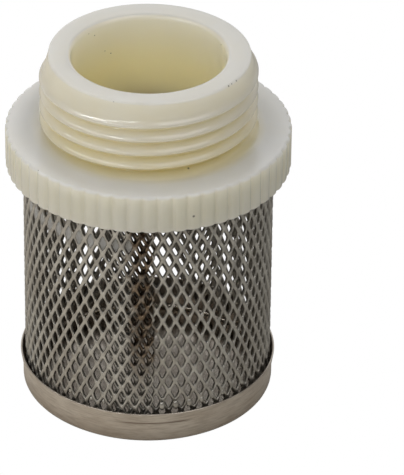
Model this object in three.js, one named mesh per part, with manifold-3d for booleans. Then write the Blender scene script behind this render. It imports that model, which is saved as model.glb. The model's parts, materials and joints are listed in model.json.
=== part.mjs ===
// Suction foot valve with a one inch parallel pipe thread: a moulded nylon collar, a strainer basket of
// expanded steel mesh closed by a pressed steel cap, and a spring-loaded check valve insert in the collar.
// Water enters through the mesh, lifts the poppet and leaves through the collar's bore.
// Millimetres, +Z up along the axis towards the thread, origin at the centre of the cap's underside.

import * as THREE from "three";
import { mergeVertices } from "three/addons/utils/BufferGeometryUtils.js";
import Module from "manifold-3d";

const wasm = await Module();
wasm.setup();

// ---- Driving dimensions -------------------------------------------------------------------------------

const TURN = 2 * Math.PI;
const RUNNING_GAP = 0.05; // between faces that rest on each other
const BODY_SEGMENTS = 48; // facets round the collar and the cap
const INSERT_SEGMENTS = 32; // facets round the pieces of the check valve
const CUT_PAST = 1; // cutters run this far past the faces that they open
const WELD = 1e-4; // points closer than this are one point

const HEIGHT = 57.5;
const SHOULDER_Z = 45.2; // top of the serrated flange, where the threaded neck starts
const FLANGE_BOTTOM_Z = 39.1;
const FLANGE_R = 21.7;
const FLANGE_EDGE = 0.4; // bevel of the flange's two edges

// The pipe thread: 11 turns per inch, 55 degree flanks, crests and roots cut off at a sixth of the triangle.
const THREAD = {
  majorR: 16.6, pitch: 2.309, depth: 1.48,
  flank: THREE.MathUtils.degToRad(27.5),
  rootHalfWidth: 0.19,
  startPitches: 0.6, // the groove starts this many pitches above the shoulder
  endPitches: 0.6, // and runs out this many above the neck's top
  fadeTurns: 0.3, // part of its first turn over which it deepens
  stepsPerTurn: 24,
};
const THREAD_CUTTER = { startClearance: 0.05, proud: 0.3 }; // how far it stands out of the neck
const THREAD_LEAD_IN = 2.6; // height of the cone at the neck's mouth
const NECK_TOP_R = 15.3; // radius of the neck's flat top, just outside the thread's root

const SERRATIONS = { count: 60, depth: 0.4, landShare: 0.62, firstLandDegrees: 1.5 };

const BORE_R = 11.73;
const BORE_EDGE = 0.7; // rounding of the bore's mouth
const LEDGE_Z = 34.4; // the ledge in the bore that carries the insert
const LEDGE_R = 9.9;
const HUB_BOTTOM_Z = 33.4;
const HUB_R = 13;
const HUB_CHAMFER = 0.6;
const CORING = { innerR: 14.4, outerR: 16.9, topZ: 42.2 }; // the ring left out of the thick flange
const SKIRT_BOTTOM_Z = 37.4;
const SLOT = { innerR: 18.15, outerR: 19.2, topZ: 43.3 }; // the ring slot that grips the mesh

const MESH = {
  outerR: 18.95, innerR: 18.4,
  bottomZ: 1.2, topZ: 42.9,
  columns: 30, halfRows: 10, // the real sheet has 60 columns of 2.0 by 3.63 mm diamonds
  firstRowZ: 5, lastRowZ: 39.6,
  knuckleHalfWidth: 0.85, knuckleHalfHeight: 1.4,
};

const CAP = {
  thickness: 0.4, wallR: 19.42, cornerR: 1.1, cornerSteps: 3,
  lipR: 19.8, height: 5.5, flareZ: 3.4,
};

// Heights of the check valve insert are counted from the ledge that it stands on.
const INSERT_R = 11.58;
const SEAT = { holeR: 7, lipInnerR: 7.2, lipTopR: 8, lipOuterR: 8.2, plateTop: 2.95, lipTop: 3.35 };
const CHAMBER = { innerR: 10.5, top: 6.95 };
const RING_GROOVE = { rootR: 10.2, low: 0.6, high: 2.4 };
const O_RING = { sectionR: 0.72, facets: 8 };
const CAGE = {
  ringInnerR: 9.6, ringTop: 8.4, skirtR: 10.4, skirtLow: 5.4,
  hubR: 4, hubLow: 12.2, hubTop: 13.1,
  bushR: 2.4, bushBoreR: 1.45, bushLow: 10.55, bushTop: 14.2,
  armWidth: 1.7, armHeight: 1.1, arms: 4, armHeadR: 3.3, footR: 10.4, footHeight: 8.55,
};
const POPPET = {
  plateR: 8.8, plateLow: 4.65, plateEdge: 5.2, plateTop: 5.75,
  neckR: 5.4, flangeR: 6.3, flangeLow: 2.3, flangeTop: 3.4, flangeChamfer: 0.5,
  bossR: 2.4, bossTop: 7,
  stemR: 1.25, stemTop: 13.6,
  wingR: 6.8, wingLow: -3, wingTop: 2.6, wingThickness: 1, wings: 3, coreR: 1.7,
};
const SEAL = { innerR: 5.5, outerR: 8.7, low: 3.45, high: 4.6 };
const SNAP_RING = { innerR: 10.9, outerR: 12.2, low: 8.46, high: 9.06, gapDegrees: 24 };
const SNAP_GROOVE = { rootR: 12.3, low: 8.35, high: 9.15 };
const SPRING = {
  wireR: 0.2, meanR: 3.2, low: 5.8, high: 12.15, coils: 5,
  flatTurns: 0.75, flatRise: 0.165, // the end coils lie flat over this part of a turn, with this rise
  stepsPerCoil: 14, sides: 6,
};

// ---- Materials ----------------------------------------------------------------------------------------

const material = (color, roughness, metalness) =>
  new THREE.MeshStandardMaterial({ color, roughness, metalness });
const NYLON = material(0xe9e4cf, 0.42, 0);
const MESH_STEEL = material(0x9a958c, 0.38, 1);
const CAP_STEEL = material(0xa39a8e, 0.34, 1);
const ACETAL = material(0xf1f1ec, 0.4, 0);
const RUBBER = material(0x1d1d1d, 0.7, 0);
const SPRING_STEEL = material(0xb9b9b9, 0.25, 1);

// ---- Geometry helpers ---------------------------------------------------------------------------------

// A three.js geometry as a manifold solid, for cutting and joining.
function solidOf(geometry) {
  const bare = geometry.index ? geometry.toNonIndexed() : geometry.clone();
  bare.deleteAttribute("normal");
  bare.deleteAttribute("uv");
  const merged = mergeVertices(bare, WELD);
  return new wasm.Manifold(new wasm.Mesh({
    numProp: 3,
    vertProperties: merged.attributes.position.array,
    triVerts: new Uint32Array(merged.index.array),
  }));
}

function geometryOf(solid) {
  const mesh = solid.getMesh();
  const geometry = new THREE.BufferGeometry();
  geometry.setAttribute("position", new THREE.BufferAttribute(mesh.vertProperties, 3));
  geometry.setIndex(new THREE.BufferAttribute(mesh.triVerts, 1));
  return geometry;
}

// Points of an arc in the (radius, height) plane; angles in degrees, 0 along +radius.
function arc(centreR, centreZ, radius, from, to, steps) {
  return Array.from({ length: steps + 1 }, (_, i) => {
    const a = THREE.MathUtils.degToRad(from + ((to - from) * i) / steps);
    return [centreR + radius * Math.cos(a), centreZ + radius * Math.sin(a)];
  });
}

// Turns a profile of [radius, height] points about Z. The outline runs up the outside and down the inside;
// a ring's outline is closed here, and a full solid's starts and ends on the axis.
function turned(profile, segments) {
  const onAxis = profile[0][0] === 0 && profile.at(-1)[0] === 0;
  const outline = onAxis ? profile : [...profile, profile[0]];
  const points = outline.map(([r, z]) => new THREE.Vector2(r, z));
  return new THREE.LatheGeometry(points, segments).rotateX(Math.PI / 2);
}

// Turns a height counted from the ledge into one counted from the base.
const above = (height) => LEDGE_Z + height;

const ring = (innerR, outerR, low, high) =>
  turned([[innerR, low], [outerR, low], [outerR, high], [innerR, high]], BODY_SEGMENTS);

// ---- Collar -------------------------------------------------------------------------------------------

// The flange's outline: flat lands with a V groove between each pair.
function serratedFlange() {
  const halfLand = SERRATIONS.landShare / 2;
  const firstLand = THREE.MathUtils.degToRad(SERRATIONS.firstLandDegrees);
  const corners = Array.from({ length: SERRATIONS.count }, (_, i) => [
    [FLANGE_R, i - halfLand],
    [FLANGE_R, i + halfLand],
    [FLANGE_R - SERRATIONS.depth, i + 0.5],
  ]).flat();
  const outline = corners.map(([r, steps]) => {
    const a = firstLand + (TURN * steps) / SERRATIONS.count;
    return new THREE.Vector2(r * Math.cos(a), r * Math.sin(a));
  });
  const options = {
    depth: SHOULDER_Z - FLANGE_BOTTOM_Z - 2 * FLANGE_EDGE,
    bevelSize: FLANGE_EDGE,
    bevelThickness: FLANGE_EDGE,
    bevelOffset: -FLANGE_EDGE,
    bevelSegments: 1,
  };
  const flange = new THREE.ExtrudeGeometry(new THREE.Shape(outline), options);
  return flange.translate(0, 0, FLANGE_BOTTOM_Z + FLANGE_EDGE);
}

// The groove of the thread as a closed solid, to be cut from the neck. It starts shallow above the shoulder
// and runs out through the lead-in chamfer.
function threadGroove() {
  const { majorR, pitch, depth, flank, rootHalfWidth } = THREAD;
  const startZ = SHOULDER_Z + THREAD.startPitches * pitch;
  const endZ = HEIGHT + THREAD.endPitches * pitch;
  const turns = (endZ - startZ) / pitch;
  const steps = Math.round(turns * THREAD.stepsPerTurn);
  const outerR = majorR + THREAD_CUTTER.proud;
  const position = [];
  const index = [];
  for (let i = 0; i <= steps; i++) {
    const turn = (turns * i) / steps;
    const deepened = Math.min(1, turn / THREAD.fadeTurns);
    const rootR = THREE.MathUtils.lerp(majorR + THREAD_CUTTER.startClearance, majorR - depth, deepened);
    const outerHalfWidth = rootHalfWidth + (outerR - rootR) * Math.tan(flank);
    const section = [
      [rootR, -rootHalfWidth],
      [outerR, -outerHalfWidth],
      [outerR, outerHalfWidth],
      [rootR, rootHalfWidth],
    ];
    const a = turn * TURN;
    const z = startZ + pitch * turn;
    for (const [r, dz] of section) position.push(r * Math.cos(a), r * Math.sin(a), z + dz);
    if (i === 0) continue;
    const here = 4 * i;
    for (let k = 0; k < 4; k++) {
      const next = (k + 1) % 4;
      index.push(here - 4 + k, here + next, here - 4 + next);
      index.push(here - 4 + k, here + k, here + next);
    }
  }
  const last = 4 * steps;
  index.push(0, 1, 2, 0, 2, 3);
  index.push(last, last + 2, last + 1, last, last + 3, last + 2);
  const geometry = new THREE.BufferGeometry();
  geometry.setAttribute("position", new THREE.Float32BufferAttribute(position, 3));
  geometry.setIndex(index);
  return geometry;
}

function collar() {
  const neckAndHub = turned([
    [LEDGE_R, HUB_BOTTOM_Z],
    [HUB_R - HUB_CHAMFER, HUB_BOTTOM_Z],
    [HUB_R, HUB_BOTTOM_Z + HUB_CHAMFER],
    [HUB_R, SKIRT_BOTTOM_Z],
    [SLOT.innerR, SKIRT_BOTTOM_Z],
    [SLOT.innerR, SHOULDER_Z],
    [THREAD.majorR, SHOULDER_Z],
    [THREAD.majorR, HEIGHT - THREAD_LEAD_IN],
    [NECK_TOP_R, HEIGHT],
    ...arc(BORE_R + BORE_EDGE, HEIGHT - BORE_EDGE, BORE_EDGE, 90, 180, 2),
    [BORE_R, LEDGE_Z],
    [LEDGE_R, LEDGE_Z],
  ], BODY_SEGMENTS);
  const boreThroughFlange = turned([
    [0, FLANGE_BOTTOM_Z - CUT_PAST],
    [BORE_R, FLANGE_BOTTOM_Z - CUT_PAST],
    [BORE_R, SHOULDER_Z + CUT_PAST],
    [0, SHOULDER_Z + CUT_PAST],
  ], BODY_SEGMENTS);
  const meshSlot = ring(SLOT.innerR, SLOT.outerR, SKIRT_BOTTOM_Z - CUT_PAST, SLOT.topZ);
  const coring = ring(CORING.innerR, CORING.outerR, SKIRT_BOTTOM_Z - CUT_PAST, CORING.topZ);
  const { rootR, low, high } = SNAP_GROOVE;
  const snapGroove = ring(BORE_R - CUT_PAST, rootR, above(low), above(high));
  const body = solidOf(serratedFlange()).add(solidOf(neckAndHub));
  const cuts = [boreThroughFlange, meshSlot, coring, snapGroove, threadGroove()];
  return geometryOf(cuts.reduce((solid, cut) => solid.subtract(solidOf(cut)), body));
}

// ---- Strainer basket ----------------------------------------------------------------------------------

// A tube of expanded metal. Knuckles, the four-cornered joints of the sheet, stand in rows that are staggered
// by half a column, and two strands climb from each to the row above. Plain bands close the tube's ends.
function meshSleeve() {
  const { columns, halfRows, firstRowZ, lastRowZ, outerR, innerR } = MESH;
  const column = TURN / columns;
  const halfAngle = MESH.knuckleHalfWidth / outerR;
  const position = [];
  const index = [];
  const corners = new Map();

  // Adds a point on both skins and gives the outer one's number; the inner one's is the next.
  const point = (angle, z) => {
    for (const r of [outerR, innerR]) position.push(r * Math.cos(angle), r * Math.sin(angle), z);
    return position.length / 3 - 2;
  };
  const face = (a, b, c) => index.push(a, b, c, a + 1, c + 1, b + 1);
  const quad = (a, b, c, d) => {
    face(a, b, c);
    face(a, c, d);
  };
  // The wall through the sheet along an edge that has open space on its right.
  const wall = (a, b) => index.push(a, a + 1, b + 1, a, b + 1, b);

  for (let row = 0; row <= halfRows; row++) {
    const z = firstRowZ + ((lastRowZ - firstRowZ) * row) / halfRows;
    for (let i = 0; i < columns; i++) {
      const angle = (i + (row % 2) / 2) * column;
      corners.set(`${row},${i}`, {
        left: point(angle - halfAngle, z),
        right: point(angle + halfAngle, z),
        top: row < halfRows ? point(angle, z + MESH.knuckleHalfHeight) : null,
        bottom: row > 0 ? point(angle, z - MESH.knuckleHalfHeight) : null,
      });
    }
  }
  const knuckle = (row, i) => corners.get(`${row},${(i + columns) % columns}`);

  for (let row = 0; row <= halfRows; row++)
    for (let i = 0; i < columns; i++) {
      const here = knuckle(row, i);
      if (here.top !== null) face(here.left, here.right, here.top);
      if (here.bottom !== null) face(here.left, here.bottom, here.right);
      if (row === halfRows) continue;
      const upRight = knuckle(row + 1, i + (row % 2));
      const upLeft = knuckle(row + 1, i - 1 + (row % 2));
      quad(here.top, here.right, upRight.bottom, upRight.left);
      wall(here.right, upRight.bottom);
      wall(upRight.left, here.top);
      quad(here.left, here.top, upLeft.right, upLeft.bottom);
      wall(here.top, upLeft.right);
      wall(upLeft.bottom, here.left);
    }

  // Bands: the row's left and right corners joined to an edge of plain points at the same angles.
  for (const [row, edgeZ, up] of [[0, MESH.bottomZ, false], [halfRows, MESH.topZ, true]]) {
    const rim = [];
    for (let i = 0; i < columns; i++) {
      const angle = (i + (row % 2) / 2) * column;
      rim.push([knuckle(row, i).left, point(angle - halfAngle, edgeZ)]);
      rim.push([knuckle(row, i).right, point(angle + halfAngle, edgeZ)]);
    }
    rim.forEach(([near, far], k) => {
      const [nextNear, nextFar] = rim[(k + 1) % rim.length];
      if (up) quad(near, nextNear, nextFar, far);
      else quad(far, nextFar, nextNear, near);
      if (up) wall(nextFar, far);
      else wall(far, nextFar);
      const openSide = k % 2 === 1;
      if (openSide && up) wall(near, nextNear);
      if (openSide && !up) wall(nextNear, near);
    });
  }
  const geometry = new THREE.BufferGeometry();
  geometry.setAttribute("position", new THREE.Float32BufferAttribute(position, 3));
  geometry.setIndex(index);
  return geometry;
}

// A shallow pressed cup with a rounded corner and a mouth that flares where the mesh was pushed in.
function endCap() {
  const { thickness: t, wallR, lipR, height, flareZ, cornerR, cornerSteps } = CAP;
  return turned([
    [0, 0],
    ...arc(wallR - cornerR, cornerR, cornerR, -90, 0, cornerSteps),
    [wallR, flareZ],
    [lipR, height],
    [lipR - t, height],
    [wallR - t, flareZ],
    ...arc(wallR - cornerR, cornerR, cornerR - t, 0, -90, cornerSteps),
    [0, t],
  ], BODY_SEGMENTS);
}

// ---- Check valve insert -------------------------------------------------------------------------------

const raised = (profile) => profile.map(([r, height]) => [r, above(height)]);
const turnedInsert = (profile) => turned(raised(profile), INSERT_SEGMENTS);

function valveBody() {
  return turnedInsert([
    [SEAT.holeR, RUNNING_GAP],
    [INSERT_R, RUNNING_GAP],
    [INSERT_R, RING_GROOVE.low],
    [RING_GROOVE.rootR, RING_GROOVE.low],
    [RING_GROOVE.rootR, RING_GROOVE.high],
    [INSERT_R, RING_GROOVE.high],
    [INSERT_R, CHAMBER.top],
    [CHAMBER.innerR, CHAMBER.top],
    [CHAMBER.innerR, SEAT.plateTop],
    [SEAT.lipOuterR, SEAT.plateTop],
    [SEAT.lipTopR, SEAT.lipTop],
    [SEAT.lipInnerR, SEAT.lipTop],
    [SEAT.holeR, SEAT.plateTop],
  ]);
}

function bodyORing() {
  const centreR = RING_GROOVE.rootR + O_RING.sectionR + RUNNING_GAP;
  const centre = (RING_GROOVE.low + RING_GROOVE.high) / 2;
  return turnedInsert(arc(centreR, centre, O_RING.sectionR, -180, 180, O_RING.facets).slice(0, -1));
}

// The cage stands on the valve body, holds the spring down and guides the top of the stem.
function guideCage() {
  const low = CHAMBER.top + RUNNING_GAP;
  const rim = turnedInsert([
    [CAGE.ringInnerR, CAGE.skirtLow],
    [CAGE.skirtR, CAGE.skirtLow],
    [CAGE.skirtR, low],
    [INSERT_R, low],
    [INSERT_R, CAGE.ringTop],
    [CAGE.ringInnerR, CAGE.ringTop],
  ]);
  const hub = turnedInsert([
    [CAGE.bushBoreR, CAGE.bushLow],
    [CAGE.bushR, CAGE.bushLow],
    [CAGE.bushR, CAGE.hubLow],
    [CAGE.hubR, CAGE.hubLow],
    [CAGE.hubR, CAGE.hubTop],
    [CAGE.bushR, CAGE.hubTop],
    [CAGE.bushR, CAGE.bushTop],
    [CAGE.bushBoreR, CAGE.bushTop],
  ]);
  let cage = solidOf(rim).add(solidOf(hub));
  const rise = (CAGE.hubLow + CAGE.hubTop) / 2 - CAGE.footHeight;
  const reach = CAGE.footR - CAGE.armHeadR;
  for (let i = 0; i < CAGE.arms; i++) {
    const arm = new THREE.BoxGeometry(Math.hypot(reach, rise), CAGE.armWidth, CAGE.armHeight)
      .rotateY(Math.atan2(rise, reach))
      .translate((CAGE.footR + CAGE.armHeadR) / 2, 0, above(CAGE.footHeight + rise / 2))
      .rotateZ((TURN * i) / CAGE.arms);
    cage = cage.add(solidOf(arm));
  }
  return geometryOf(cage);
}

// An open ring of flat spring steel, sprung into the groove above the cage.
function snapRing() {
  const { innerR, outerR, low, high, gapDegrees } = SNAP_RING;
  const half = THREE.MathUtils.degToRad(gapDegrees / 2);
  const outline = new THREE.Shape();
  outline.absarc(0, 0, outerR, half, TURN - half, false);
  outline.absarc(0, 0, innerR, TURN - half, half, true);
  const options = { depth: high - low, bevelEnabled: false, curveSegments: INSERT_SEGMENTS };
  return new THREE.ExtrudeGeometry(outline, options).translate(0, 0, above(low));
}

// The poppet's plate carries the seal, its wings run in the seat's hole and its stem in the cage's bush.
function poppet() {
  const turnedPart = turnedInsert([
    [0, POPPET.wingLow],
    [POPPET.coreR, POPPET.wingLow],
    [POPPET.coreR, POPPET.flangeLow],
    [POPPET.flangeR - POPPET.flangeChamfer, POPPET.flangeLow],
    [POPPET.flangeR, POPPET.flangeLow + POPPET.flangeChamfer],
    [POPPET.flangeR, POPPET.flangeTop],
    [POPPET.neckR, POPPET.flangeTop],
    [POPPET.neckR, POPPET.plateLow],
    [POPPET.plateR, POPPET.plateLow],
    [POPPET.plateR, POPPET.plateEdge],
    [POPPET.flangeR, POPPET.plateTop],
    [POPPET.bossR, POPPET.plateTop],
    [POPPET.bossR, POPPET.bossTop],
    [POPPET.stemR, POPPET.bossTop],
    [POPPET.stemR, POPPET.stemTop],
    [0, POPPET.stemTop],
  ]);
  let solid = solidOf(turnedPart);
  const wingHeight = POPPET.wingTop - POPPET.wingLow;
  for (let i = 0; i < POPPET.wings; i++) {
    const wing = new THREE.BoxGeometry(POPPET.wingR, POPPET.wingThickness, wingHeight)
      .translate(POPPET.wingR / 2, 0, above(POPPET.wingLow + wingHeight / 2))
      .rotateZ((TURN * i) / POPPET.wings);
    solid = solid.add(solidOf(wing));
  }
  return geometryOf(solid);
}

function poppetSeal() {
  return turnedInsert([
    [SEAL.innerR, SEAL.low],
    [SEAL.outerR, SEAL.low],
    [SEAL.outerR, SEAL.high],
    [SEAL.innerR, SEAL.high],
  ]);
}

// A helix whose end coils lie flat, so that the spring stands square on the plate and under the hub.
class SpringCurve extends THREE.Curve {
  getPoint(t, target = new THREE.Vector3()) {
    const { meanR, low, high, wireR, coils, flatTurns, flatRise } = SPRING;
    const flatShare = flatTurns / coils;
    const flatParts = Math.min(t / flatShare, 1) + Math.max((t - 1) / flatShare + 1, 0);
    const climb = THREE.MathUtils.smoothstep(t, flatShare / 2, 1 - flatShare / 2);
    const climbHeight = high - low - 2 * wireR - 2 * flatRise;
    const height = low + wireR + flatRise * flatParts + climbHeight * climb;
    const a = TURN * coils * t;
    return target.set(meanR * Math.cos(a), meanR * Math.sin(a), above(height));
  }
}

function returnSpring() {
  const { wireR, sides, coils, stepsPerCoil } = SPRING;
  const corners = Array.from({ length: sides }, (_, i) => {
    const a = (TURN * i) / sides;
    return new THREE.Vector2(wireR * Math.cos(a), wireR * Math.sin(a));
  });
  return new THREE.ExtrudeGeometry(new THREE.Shape(corners), {
    extrudePath: new SpringCurve(),
    steps: Math.round(coils * stepsPerCoil),
    bevelEnabled: false,
  });
}

// ---- Assembly -----------------------------------------------------------------------------------------

const footValve = new THREE.Group();
const pieces = [
  ["threaded_collar", collar(), NYLON],
  ["mesh_sleeve", meshSleeve(), MESH_STEEL],
  ["end_cap", endCap(), CAP_STEEL],
  ["valve_body", valveBody(), ACETAL],
  ["body_o_ring", bodyORing(), RUBBER],
  ["guide_cage", guideCage(), ACETAL],
  ["snap_ring", snapRing(), SPRING_STEEL],
  ["poppet", poppet(), ACETAL],
  ["poppet_seal", poppetSeal(), RUBBER],
  ["return_spring", returnSpring(), SPRING_STEEL],
];
for (const [name, geometry, look] of pieces) {
  const mesh = new THREE.Mesh(geometry, look);
  mesh.name = name;
  footValve.add(mesh);
}

export default footValve;
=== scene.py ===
"""The foot valve's looks: a nylon collar with a moulded pipe thread, a basket of expanded steel mesh, a
pressed steel cap and the check valve inside. Lengths in the mesh code are millimetres, and MM turns them into
Blender's metres; materials, lights and the camera work in metres. Angles round the collar, the mesh and the
cap are counted from -Y, the side that faces the camera, towards +X."""

import json
import math

import bpy
import numpy as np
from mathutils import Matrix, Vector


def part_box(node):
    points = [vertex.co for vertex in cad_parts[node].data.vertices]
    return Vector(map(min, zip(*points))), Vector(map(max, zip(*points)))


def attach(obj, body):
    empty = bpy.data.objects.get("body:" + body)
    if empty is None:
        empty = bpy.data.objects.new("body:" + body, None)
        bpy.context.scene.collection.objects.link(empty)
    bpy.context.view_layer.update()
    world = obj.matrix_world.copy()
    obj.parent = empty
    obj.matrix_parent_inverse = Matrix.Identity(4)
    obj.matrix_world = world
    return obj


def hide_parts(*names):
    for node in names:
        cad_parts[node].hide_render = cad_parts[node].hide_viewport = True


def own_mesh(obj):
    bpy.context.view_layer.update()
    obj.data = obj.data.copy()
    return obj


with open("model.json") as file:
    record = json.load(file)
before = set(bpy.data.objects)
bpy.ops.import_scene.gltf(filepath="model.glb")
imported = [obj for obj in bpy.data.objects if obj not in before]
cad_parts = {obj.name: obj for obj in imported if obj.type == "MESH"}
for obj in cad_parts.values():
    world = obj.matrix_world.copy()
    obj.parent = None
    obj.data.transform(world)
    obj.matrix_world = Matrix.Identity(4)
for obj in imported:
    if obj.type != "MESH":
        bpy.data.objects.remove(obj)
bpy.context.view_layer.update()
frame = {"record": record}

MM = 0.001
TURN = 2 * math.pi
FRONT = -TURN / 4  # where the angles start, as an angle from +X

HOUSING = "strainer_housing"
POPPET_BODY = "poppet_assembly"


def node_box(node):
    """The lowest and highest corners of a CAD node's box."""
    low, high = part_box(node)
    return [v / MM for v in low], [v / MM for v in high]


def mount_height(name):
    """The height of a mount of the record."""
    mounts = frame["record"]["mounts"]
    return next(m["pos_m"][2] for m in mounts if m["name"] == name) / MM


# ---- Sizes ---------------------------------------------------------------------------------------

TOP = mount_height("outlet_face")
SHOULDER = mount_height("flange_shoulder")
COLLAR_LOW, COLLAR_HIGH = node_box("threaded_collar")
SLEEVE_LOW, SLEEVE_HIGH = node_box("mesh_sleeve")
CAP_HIGH = node_box("end_cap")[1]
BODY_LOW, BODY_HIGH = node_box("valve_body")
CAGE_LOW, CAGE_HIGH = node_box("guide_cage")
POPPET_LOW, POPPET_HIGH = node_box("poppet")
SPRING_LOW, SPRING_HIGH = node_box("return_spring")
SNAP_LOW, SNAP_HIGH = node_box("snap_ring")
SEAL_LOW, SEAL_HIGH = node_box("poppet_seal")
O_RING_LOW, O_RING_HIGH = node_box("body_o_ring")

FLANGE_R = COLLAR_HIGH[0]
FLANGE_BOTTOM = 39.1
HUB_BOTTOM = COLLAR_LOW[2]
LEDGE = BODY_LOW[2] - 0.05  # height of the ledge in the bore that the valve body stands on
LEDGE_R = 9.9  # radius of the opening below the ledge
BORE_R = 11.73
BORE_MOUTH = 0.7  # rounding of the bore's upper edge
SNAP_GROOVE_R = 12.3
SNAP_MIDDLE = (SNAP_LOW[2] + SNAP_HIGH[2]) / 2
SLOT_TOP = SLEEVE_HIGH[2] + 0.4  # the slot under the flange that grips the mesh
SLOT_INNER_R, SLOT_OUTER_R = 17.75, 19.2
RECESS_INNER_R, RECESS_OUTER_R = 14.4, 16.9  # the ring left out of the flange's underside
RECESS_TOP, SKIRT_BOTTOM = 42.2, 37.4

SERRATIONS = 60
FIRST_SERRATION = math.radians(1.5)
NOTCH_DEPTH = 0.28
NOTCH_SHARE = 0.56  # a notch's width as a share of the serration's pitch
# Places of the mesh points across one serration, from notch to notch, closer together in the notch.
SERRATION_STATIONS = (-0.5, -0.45, -0.40, -0.34, -0.27, -0.14, 0.0, 0.14, 0.27, 0.34, 0.40, 0.45)

THREAD_PITCH = 2.309
THREAD_CREST_R = 16.5
THREAD_ROOT_R = 15.1
TOP_CREST = 54.1  # height of the uppermost full crest, at the front
LEAD_IN_SLOPE = 0.34  # radius lost per millimetre above the uppermost crest
LAST_SHOULDER = 0.38  # how far that crest stands out of the cone above it

FADE_FROM, FADE_TO = math.radians(-172), math.radians(-85)  # where the last groove runs out
NECK_FILLET = 0.55
NECK_EDGE = 0.3  # rounding of the end face's outer edge

# Dark specks in the moulding: angle, radius, height and size.
SPECKS = (
    (0.33, 21.6, 41.5, 0.28), (0.41, 15.4, 45.9, 0.21), (-2.24, 11.8, 56.6, 0.14),
    (-2.35, 11.75, 55.8, 0.13), (-2.52, 11.75, 52.4, 0.11), (-2.61, 11.75, 51.7, 0.13),
    (1.97, 11.75, 56.5, 0.15), (0.90, 15.25, 57.35, 0.2), (0.95, 15.27, 57.4, 0.15),
    (1.03, 15.25, 57.35, 0.19), (-0.33, 15.3, 57.3, 0.2), (-0.86, 21.3, 45.1, 0.13),
)

SHEET = 0.45  # thickness of the expanded metal
STRAND_TILT = 0.11  # how far the strands lean in at the top of each opening, and out at its bottom
STRAND_CROWN = 0.03  # how far the middle of a strand stands out
SLEEVE_R = 18.99
HALF_HEIGHT = 1.813  # half a cell's height; rows of cells follow each other at this step
HOLE_ROWS = 21
COLUMN = TURN / 59.64  # a cell's width, as an angle
OUTLINE_POINTS = 12
HOLE_WIDTH, HOLE_HEIGHT = 0.95, 1.06  # an opening's proportions, against its cell's
HOLE_SQUARENESS = 1.16  # 1 is a sharp diamond, 2 an ellipse
FIRST_COLUMN = 0.122  # where the columns start, as a share of a column
FIRST_ROW, ROW_RISE = 0.126, 0.4275  # the first row's height and a row's gain in a turn, in half cells
LAP = math.radians(20)  # how far the sheet's two ends overlap
LAP_STEP, LAP_RUN = 0.15, math.radians(30)  # room between the two layers, and where the step out ends

FLASH_ROW = 18  # the row of openings that nylon has run into, and how far round it goes
FLASH_FROM, FLASH_TO = math.radians(-70), math.radians(-3)
BEAD_Z = 6.5
BEAD_THICK, BEAD_WIDE, BEAD_TALL = 0.28, 0.42, 0.62  # half sizes of a bead of size 1
# Beads on the sheet's lowest visible crossings: angle in degrees and size.
BEADS = (
    (7.6, 1.2), (14.0, 1.25), (20.5, 1.15), (26.8, 0.9), (32.4, 0.65), (38.0, 0.8), (50.6, 0.7),
    (-19.9, 0.6), (-26.1, 0.6), (-37.8, 0.6),
)

CAP_WALL = 0.33
CAP_R = 19.4
CREASE_Z, CREASE_WIDTH, CREASE_DEPTH = 3.95, 0.13, 0.1


# ---- Mesh helpers --------------------------------------------------------------------------------


def add_piece(name, points, faces, material, body, slot, replaces=()):
    """A smooth-shaded mesh from points in millimetres, riding on a body and standing for CAD nodes."""
    mesh = bpy.data.meshes.new(name)
    mesh.from_pydata((np.asarray(points) * MM).tolist(), [], faces)
    mesh.validate()
    mesh.shade_smooth()
    piece = bpy.data.objects.new(name, mesh)
    bpy.context.collection.objects.link(piece)
    mesh.materials.append(material)
    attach(piece, body)
    if replaces:
        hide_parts(*replaces)
    return piece


def set_attribute(piece, name, values):
    """One number for each point, which a material can read by name."""
    attribute = piece.data.attributes.new(name, "FLOAT", "POINT")
    attribute.data.foreach_set("value", np.asarray(values, np.float32).reshape(-1))


def ring_faces(rows, columns, closed_rows=True):
    """Quads between neighbouring rows of points; each row goes once round the axis."""
    faces = []
    for i in range(rows if closed_rows else rows - 1):
        a = i * columns
        b = ((i + 1) % rows) * columns
        for j in range(columns):
            k = (j + 1) % columns
            faces.append((a + j, a + k, b + k, b + j))
    return faces


def filleted(corners, steps=4):
    """A path of (r, z) points through corners (r, z, radius), each rounded by an arc of that radius.
    Beside each arc the straight part gets one more point, so that smooth shading keeps it straight."""
    support = 0.12
    count = len(corners)
    path = []
    for i, (r, z, radius) in enumerate(corners):
        here = np.array((r, z))
        if radius == 0 or i in (0, count - 1):
            path.append(tuple(here))
            continue
        before = np.array(corners[i - 1][:2]) - here
        after = np.array(corners[i + 1][:2]) - here
        room = [np.linalg.norm(before), np.linalg.norm(after)]
        before, after = before / room[0], after / room[1]
        half = math.acos(np.clip(before @ after, -1, 1)) / 2
        reach = radius / math.tan(half)
        centre = here + (before + after) / np.linalg.norm(before + after) * radius / math.sin(half)
        start, end = here + before * reach, here + after * reach
        first = math.atan2(*(start - centre)[::-1])
        sweep = math.atan2(*(end - centre)[::-1]) - first
        sweep = (sweep + math.pi) % TURN - math.pi
        if room[0] > reach + 2 * support:
            path.append(tuple(start + before * support))
        for k in range(steps + 1):
            a = first + sweep * k / steps
            path.append((centre[0] + radius * math.cos(a), centre[1] + radius * math.sin(a)))
        if room[1] > reach + 2 * support:
            path.append(tuple(end + after * support))
    return path


def closed_corners(corners):
    """A closed outline for filleted(): it starts and ends in the middle of the first side."""
    (r0, z0, _), (r1, z1, _) = corners[0], corners[1]
    middle = ((r0 + r1) / 2, (z0 + z1) / 2, 0)
    return [middle, *corners[1:], corners[0], middle]


def turned_rows(path, segments=128):
    """Rows of points round the axis, one for each (r, z) of the path."""
    angles = FRONT + np.arange(segments) * TURN / segments
    return np.array([[(r * math.cos(a), r * math.sin(a), z) for a in angles] for r, z in path])


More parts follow.
